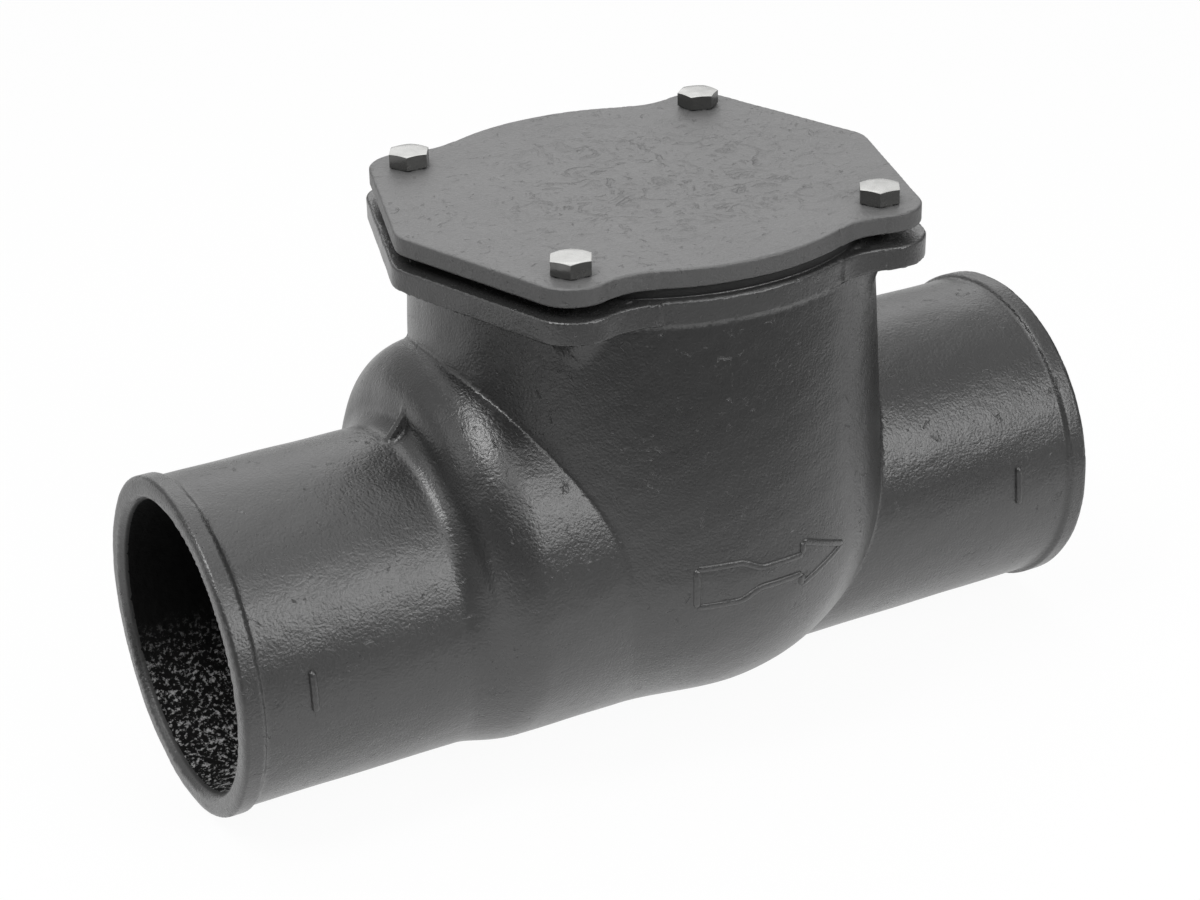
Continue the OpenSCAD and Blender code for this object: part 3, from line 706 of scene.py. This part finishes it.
def cast_mesh(name, shape, low, high, step):
    """Smooth mesh of a shape that is given as distances, inside a box."""
    step = np.array(step)
    margin = 3.4 * step
    low = np.array(low) - margin
    counts = np.ceil((np.array(high) + margin - low) / step).astype(int) + 1
    x, y, z = (low[k] + step[k] * np.arange(counts[k]) for k in range(3))
    corners, quads = skin(shape(x[:, None, None], y[None, :, None], z[None, None, :]), low, step)
    for _ in range(2):
        distance, out = slopes(shape, corners, reach=0.1 * MM)
        corners -= out * np.clip(distance, -step.min() / 2, step.min() / 2)[:, None]
    out = slopes(shape, corners, reach=0.25 * MM)[1]
    mesh = bpy.data.meshes.new(name)
    mesh.from_pydata(corners.tolist(), [], quads.tolist())
    mesh.shade_smooth()
    mesh.normals_split_custom_set_from_vertices(out.tolist())
    return mesh


def turned_ring(name, outline, middle):
    """Mesh of a closed outline of radius and height, turned about an upright axis."""
    count, n = 160, len(outline)
    corners, faces = [], []
    for k in range(count):
        angle = 2 * math.pi * k / count
        x, y = math.cos(angle), math.sin(angle)
        corners += [(middle[0] + r * x, middle[1] + r * y, z) for r, z in outline]
        here, there = k * n, (k + 1) % count * n
        faces += [(here + j, there + j, there + (j + 1) % n, here + (j + 1) % n) for j in range(n)]
    mesh = bpy.data.meshes.new(name)
    mesh.from_pydata(corners, [], faces)
    mesh.shade_smooth()
    mesh.set_sharp_from_angle(angle=math.radians(50))
    return mesh


def faces_between(first, count, n):
    """Faces between rings of n corners each, which follow one another from a first corner."""
    return [(k + j, k + (j + 1) % n, k + n + (j + 1) % n, k + n + j)
            for k in range(first, first + (count - 1) * n, n) for j in range(n)]


def distance_along(line):
    """Distance of each point of a line from its start."""
    steps = np.linalg.norm(np.diff(line, axis=0), axis=1)
    return np.concatenate([[0], np.cumsum(steps)])


def spaced(line, gap):
    """Points a small gap apart along a line."""
    line = np.asarray(line)
    gone = distance_along(line)
    even = np.linspace(0, gone[-1], max(int(gone[-1] / gap), 4) + 1)
    return np.stack([np.interp(even, gone, line[:, k]) for k in range(2)], axis=1)


def raised_lines(name, lines, width, height, sink):
    """Mesh of round-backed lines, each given by its points and the directions out of the casting."""
    arc = np.linspace(0, math.pi, 9)
    rise = height * np.sin(arc)
    root = np.zeros_like(arc)
    root[[0, -1]] = sink
    n = len(arc)
    corners, faces = [], []
    for points, out in lines:
        along = np.gradient(points, axis=0)
        across = np.cross(out, along / np.linalg.norm(along, axis=1, keepdims=True))
        gone = distance_along(points)
        from_end = np.minimum(gone, gone[-1] - gone) / (width / 2)
        swell = np.sqrt(np.clip(1 - (1 - np.minimum(from_end, 1)) ** 2, 0.02, 1))
        first = len(corners)
        for point, sideways, outward, share in zip(points, across, out, swell):
            side = share * width / 2 * np.cos(arc)[:, None] * sideways
            up = (share * rise - root)[:, None] * outward
            corners += (point + side + up).tolist()
        last = len(corners) - n
        faces += faces_between(first, len(points), n)
        faces.append(tuple(reversed(range(first, first + n))))
        faces.append(tuple(range(last, last + n)))
    mesh = bpy.data.meshes.new(name)
    mesh.from_pydata(corners, [], faces)
    mesh.shade_smooth()
    mesh.set_sharp_from_angle(angle=math.radians(60))
    return mesh


def new_piece(name, mesh, material, body, slot, *nodes):
    """Puts a mesh in the scene as a piece that rides on a body and stands for some solids."""
    piece = bpy.data.objects.new(name, mesh)
    bpy.context.scene.collection.objects.link(piece)
    mesh.materials.clear()
    mesh.materials.append(material)
    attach(piece, body)
    if nodes:
        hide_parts(*nodes)
    return piece


def eased_copy(node, name, material, body, slot, edge):
    """Copy of a solid with its edges broken."""
    mesh = frame["nodes"][node].data.copy()
    mesh.name = name
    work = bmesh.new()
    work.from_mesh(mesh)
    bmesh.ops.remove_doubles(work, verts=work.verts, dist=WELD)
    bmesh.ops.dissolve_limit(
        work, angle_limit=math.radians(0.5), verts=work.verts, edges=work.edges, delimit={"NORMAL"}
    )
    for face in work.faces:
        face.smooth = True
    work.to_mesh(mesh)
    work.free()
    piece = new_piece(name, mesh, material, body, slot, node)
    bevel = piece.modifiers.new("Broken edges", "BEVEL")
    bevel.width = edge
    bevel.segments = 2
    bevel.limit_method = "ANGLE"
    bevel.angle_limit = math.radians(35)
    bevel.harden_normals = True


# Operators

class VALVE_OT_body(bpy.types.Operator):
    """Cast the valve body with its fillets"""

    bl_idname = "valve.body"
    bl_label = "Valve body"

    def execute(self, context):
        s = context.scene.valve_casting
        shape = functools.partial(casting_field, s)
        mesh = cast_mesh("cast_body", shape, BODY_LOW, BODY_HIGH, (s.step, s.step, s.step))
        tone = context.scene.valve_finishes.paint
        new_piece("cast_body", mesh, cast_paint("body_paint", tone), "root", "cast_iron", "valve_body")
        self.paint_bore_shade(mesh, tone)
        self.gasket_face(s)
        return {"FINISHED"}

    def paint_bore_shade(self, mesh, tone):
        """Gives the faces of the waterway their own near-black material of painted shade."""
        mesh.materials.append(bore_shade_paint("bore_shade_paint", tone))
        middles = np.empty(3 * len(mesh.polygons), dtype=np.float32)
        mesh.polygons.foreach_get("center", middles)
        off_axis = np.hypot(middles[1::3], middles[2::3])
        mesh.polygons.foreach_set("material_index", (off_axis < BORE_EDGE).astype(np.int32))

    def gasket_face(self, s):
        """The low round face on the flange that the gasket lies on."""
        out = (GASKET_HIGH.x - GASKET_LOW.x) / 2
        top, edge = BODY_HIGH.z, s.raised_edge
        root = top - s.raised_h - s.raised_root
        outline = [(s.neck_r, root), (out, root), (out, top - edge), (out - edge, top), (s.neck_r, top)]
        ring = turned_ring("gasket_face", outline, (CHAMBER_X, 0))
        new_piece("gasket_face", ring, bpy.data.materials["body_paint"], "root", "cast_iron")


class VALVE_OT_marks(bpy.types.Operator):
    """Raise the flow arrow and the tick marks on the casting"""

    bl_idname = "valve.marks"
    bl_label = "Casting marks"

    def execute(self, context):
        scene = context.scene
        sizes = scene.valve_marks
        paint = bpy.data.materials["body_paint"]
        lines = self.arrow(scene.valve_casting, sizes)
        arrow = raised_lines("flow_arrow", lines, sizes.line_w, sizes.line_h, sizes.line_sink)
        new_piece("flow_arrow", arrow, paint, "root", "cast_iron")
        lines = self.ticks(scene.valve_casting, sizes)
        ticks = raised_lines("tick_marks", lines, sizes.tick_w, sizes.tick_h, sizes.line_sink)
        new_piece("tick_marks", ticks, paint, "root", "cast_iron")
        return {"FINISHED"}

    def arrow(self, s, m):
        """Lines of the arrow, laid on the chamber's wall."""
        share = np.linspace(0, 1, 13)
        bend = m.shaft_half + (m.tail_half - m.shaft_half) * (1 + np.cos(math.pi * share)) / 2
        run = m.tail_front - m.shaft_back
        narrowing = np.stack([run * share - m.tail_front, bend], axis=1)
        edge = np.concatenate([[(-m.tail_end, m.tail_half)], narrowing, [(m.head_back, m.shaft_half)]])
        lines = [[(-m.tail_end, -m.tail_half), (-m.tail_end, m.tail_half)]]
        for side in (1, -1):
            flip = np.array((1, side))
            barb = (m.head_back, m.head_half)
            lines.append(edge * flip)
            lines.append(np.array([(m.head_back, m.shaft_half), barb]) * flip)
            lines.append(np.array([barb, (m.tip, 0)]) * flip)
        return [self.on_chamber(s, m, spaced(line, m.line_gap)) for line in lines]

    def on_chamber(self, s, m, flat):
        """Wraps a flat line round the front of the chamber."""
        z = m.arrow_z + flat[:, 1]
        drop = np.maximum(s.belly_z - z, 0)
        round_r = s.bowl_depth + s.belly_z
        out = s.belly_r - round_r + np.sqrt(round_r**2 - drop**2)
        out = out - chamber_slope(s) * np.maximum(z - s.belly_z, 0)
        angle = flat[:, 0] / s.belly_r
        points = np.stack([CHAMBER_X + out * np.sin(angle), -out * np.cos(angle), z], axis=1)
        tilt = drop / round_r
        level = np.sqrt(1 - tilt**2)
        return points, np.stack([level * np.sin(angle), -level * np.cos(angle), -tilt], axis=1)

    def ticks(self, s, m):
        """The tick on the front of each pipe end."""
        angles = np.linspace(math.asin(m.tick_low / s.pipe_r), math.asin(m.tick_high / s.pipe_r), 22)
        out = np.stack([0 * angles, -np.cos(angles), np.sin(angles)], axis=1)
        places = (m.tick_in, BODY_HIGH.x - m.tick_out)
        return [(s.pipe_r * out + np.array((place, 0, 0)), out) for place in places]


class VALVE_OT_cover(bpy.types.Operator):
    """Cast the access cover and lay its gasket"""

    bl_idname = "valve.cover"
    bl_label = "Access cover"

    def execute(self, context):
        s = context.scene.valve_casting
        tones = context.scene.valve_finishes
        shape = functools.partial(cover_field, s)
        step = (s.cover_step, s.cover_step, s.cover_step / 2)
        mesh = cast_mesh("cover_plate", shape, COVER_LOW, COVER_HIGH, step)
        paint = lit_cover_paint("lit_cover_paint", tones.lit_cover_paint)
        new_piece("cover_plate", mesh, paint, "cover", "cast_iron", "access_cover")
        sheet = rubber("gasket_rubber", tones.rubber)
        eased_copy("cover_gasket", "gasket_ring", sheet, "root", "gasket_rubber", edge=0.3 * MM)
        return {"FINISHED"}


class VALVE_OT_bolts(bpy.types.Operator):
    """Turn the four cover bolts"""

    bl_idname = "valve.bolts"
    bl_label = "Cover bolts"

    def execute(self, context):
        sizes = context.scene.valve_bolts
        tone = context.scene.valve_finishes.zinc
        # Painted shade on the bolt heads' flanks, at 0.4 of the top's colour.
        zinc = metal("zinc_plate", tone, roughness=0.12, dulling=0.8, mark_size=2.5 * MM, flank=0.4)
        for count, (node, turned) in enumerate(zip(BOLTS, BOLT_TURNS), 1):
            name = f"hex_bolt_{count}"
            low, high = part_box(node)
            axis = ((low.x + high.x) / 2, (low.y + high.y) / 2)
            mesh = self.bolt_mesh(sizes, name, axis, COVER_HIGH.z, low.z, turned)
            new_piece(name, mesh, zinc, f"bolt_{count}", "zinc_steel", node)
        return {"FINISHED"}

    def bolt_mesh(self, b, name, axis, seat, tip, turned):
        """Rings of radius and height, from the tip of the thread to the top of the head."""
        angle = np.radians(np.arange(0, 360, 5))
        sixth = math.pi / 3
        hexagon = b.flats / 2 / np.cos((angle + sixth / 2) % sixth - sixth / 2)
        flat_top = b.crown_share * b.flats / 2
        disc = np.minimum(hexagon, flat_top)
        under, top = seat + b.face_h, seat + b.head_h
        root, shank = b.shank_r - b.thread_depth, b.shank_r - b.thread_depth / 2
        face = b.face_share * b.flats / 2
        rings = [(0, tip), (root, tip)]
        for z in np.arange(tip + b.pitch / 2, seat - b.plain, b.pitch / 8):
            wave = np.abs((z / b.pitch - angle / (2 * math.pi)) % 1 * 2 - 1)
            lead = min((z - tip) / b.pitch, 1)
            rings.append((root + b.thread_depth * lead * np.clip(1.25 * wave - 0.1, 0, 1), z))
        rings += [(shank, seat - b.plain + b.pitch / 4), (shank, seat), (face, seat), (face, under)]
        rings += [(hexagon - b.edge, under), (hexagon, under + b.edge)]
        rings.append((hexagon, top - (hexagon - disc) * math.tan(b.crown)))
        rings += [(disc, top), (disc / 2, top), (0, top)]
        x, y = np.cos(angle + turned), np.sin(angle + turned)
        corners = []
        for out, z in rings:
            ring = np.broadcast_arrays(axis[0] + out * x, axis[1] + out * y, z)
            corners += np.stack(ring, axis=1).tolist()
        mesh = bpy.data.meshes.new(name)
        mesh.from_pydata(corners, [], faces_between(0, len(rings), len(angle)))
        work = bmesh.new()
        work.from_mesh(mesh)
        bmesh.ops.remove_doubles(work, verts=work.verts, dist=WELD)
        work.to_mesh(mesh)
        work.free()
        mesh.shade_smooth()
        mesh.set_sharp_from_angle(angle=math.radians(22))
        return mesh


class VALVE_OT_works(bpy.types.Operator):
    """Finish the seat, hinge and flapper inside the valve"""

    bl_idname = "valve.works"
    bl_label = "Flapper works"

    def execute(self, context):
        tones = context.scene.valve_finishes
        bronze = metal("bronze", tones.bronze, roughness=0.34, dulling=0.6, mark_size=1.2 * MM)
        brass = metal("brass", tones.brass, roughness=0.28, dulling=0.7, mark_size=0.8 * MM)
        steel = metal("stainless", tones.steel, roughness=0.24, dulling=0.75, mark_size=0.7 * MM)
        seal = rubber("seal_rubber", tones.rubber)
        bodies = frame["record"]["behaviour"]["bodies"]
        body_of = {node: body for body, nodes in bodies.items() for node in nodes}
        slots = {part["node"]: part["material_slot"] for part in frame["record"]["subparts"]}
        looks = {"bronze": bronze, "brass_screw": brass, "stainless": steel, "seal_rubber": seal}
        for node, slot in slots.items():
            if slot in looks:
                eased_copy(node, f"{node}_made", looks[slot], body_of[node], slot, edge=0.4 * MM)
        return {"FINISHED"}


def area_light(name, place, target, size, power):
    """A soft rectangular lamp at a place, facing a target."""
    lamp = bpy.data.lights.new(name, "AREA")
    lamp.shape = "RECTANGLE"
    lamp.size, lamp.size_y = size
    lamp.energy = power
    light = bpy.data.objects.new(name, lamp)
    light.location = place
    light.rotation_euler = (Vector(target) - Vector(place)).to_track_quat("-Z", "Y").to_euler()
    bpy.context.scene.collection.objects.link(light)


class VALVE_OT_stage(bpy.types.Operator):
    """Set the floor, lights and camera"""

    bl_idname = "valve.stage"
    bl_label = "Stage"

    def execute(self, context):
        scene = context.scene
        stage = scene.valve_stage
        scene.view_settings.view_transform = "Standard"
        self.make_floor(stage)
        self.make_world(stage)
        middle = (CHAMBER_X, 0, 30 * MM)
        for name, (place, size, power) in LAMPS.items():
            area_light(name, place, middle, size, power)
        self.make_camera(scene, stage)
        return {"FINISHED"}

    def make_floor(self, stage):
        half = 4.0
        mesh = bpy.data.meshes.new("floor")
        square = [(-half, -half), (half, -half), (half, half), (-half, half)]
        mesh.from_pydata([(x, y, BODY_LOW.z) for x, y in square], [], [(0, 1, 2, 3)])
        floor = bpy.data.objects.new("floor", mesh)
        bpy.context.scene.collection.objects.link(floor)
        mesh.materials.append(floor_paint("floor_paint", stage))

    def make_world(self, stage):
        """White backdrop for the camera, and a studio that is dim towards the front and low down."""
        world = bpy.data.worlds.new("studio")
        world.use_nodes = True
        studio = Nodes(world.node_tree)
        way = studio.node("ShaderNodeTexCoord", {}, {}, "Generated")
        over = studio.part_of(way, "Z") + BACK_SHARE * studio.part_of(way, "Y")
        lit = 1 - stage.dimming * (1 - studio.fade(over, *STUDIO_FADE))
        seen = studio.ray("Camera")
        shiny = studio.ray("Glossy") + studio.ray("Transmission")
        strength = seen + (1 - seen) * lit * (stage.ambient + (stage.gleam - stage.ambient) * shiny)
        glow = studio.node("ShaderNodeBackground", {}, {"Color": (1, 1, 1, 1), "Strength": strength})
        output = studio.tree.nodes.new("ShaderNodeOutputWorld")
        studio.tree.links.new(glow.socket, output.inputs[0])
        bpy.context.scene.world = world

    def make_camera(self, scene, stage):
        lens = bpy.data.cameras.new("camera")
        lens.lens = stage.lens
        lens.sensor_width = 36
        lens.clip_start, lens.clip_end = 0.01, 50
        camera = bpy.data.objects.new("camera", lens)
        level = math.cos(stage.elevation)
        back = Vector((
            math.sin(stage.azimuth) * level, -math.cos(stage.azimuth) * level, math.sin(stage.elevation)
        ))
        sight = (-back).to_track_quat("-Z", "Y").to_matrix() @ Matrix.Rotation(-stage.roll, 3, "Z")
        place = Vector(stage.target) + stage.distance * back
        camera.matrix_world = Matrix.Translation(place) @ sight.to_4x4()
        scene.collection.objects.link(camera)
        scene.camera = camera


class VALVE_PT_panel(bpy.types.Panel):
    """Lists the valve's pieces and the sizes and colours behind them"""

    bl_idname = "VALVE_PT_panel"
    bl_label = "Backwater valve"
    bl_space_type = "VIEW_3D"
    bl_region_type = "UI"
    bl_category = "Valve"

    def draw(self, context):
        for operator in OPERATORS:
            self.layout.operator(operator.bl_idname)
        for place in GROUPS:
            group = getattr(context.scene, place)
            for name in group.__annotations__:
                self.layout.prop(group, name)


OPERATORS = (VALVE_OT_stage, VALVE_OT_body, VALVE_OT_marks, VALVE_OT_cover, VALVE_OT_bolts, VALVE_OT_works)
GROUPS = {
    "valve_casting": CastingSizes, "valve_marks": MarkSizes, "valve_bolts": BoltSizes,
    "valve_finishes": Finishes, "valve_stage": StageSettings,
}


def register():
    for cls in (*GROUPS.values(), *OPERATORS, VALVE_PT_panel):
        bpy.utils.register_class(cls)
    for name, cls in GROUPS.items():
        setattr(bpy.types.Scene, name, bpy.props.PointerProperty(type=cls))


def unregister():
    for name in GROUPS:
        delattr(bpy.types.Scene, name)
    for cls in (VALVE_PT_panel, *reversed(OPERATORS), *reversed(GROUPS.values())):
        bpy.utils.unregister_class(cls)


def main():
    register()
    bpy.ops.valve.stage()
    bpy.ops.valve.body()
    bpy.ops.valve.marks()
    bpy.ops.valve.cover()
    bpy.ops.valve.bolts()
    bpy.ops.valve.works()


if __name__ == "__main__":
    main()
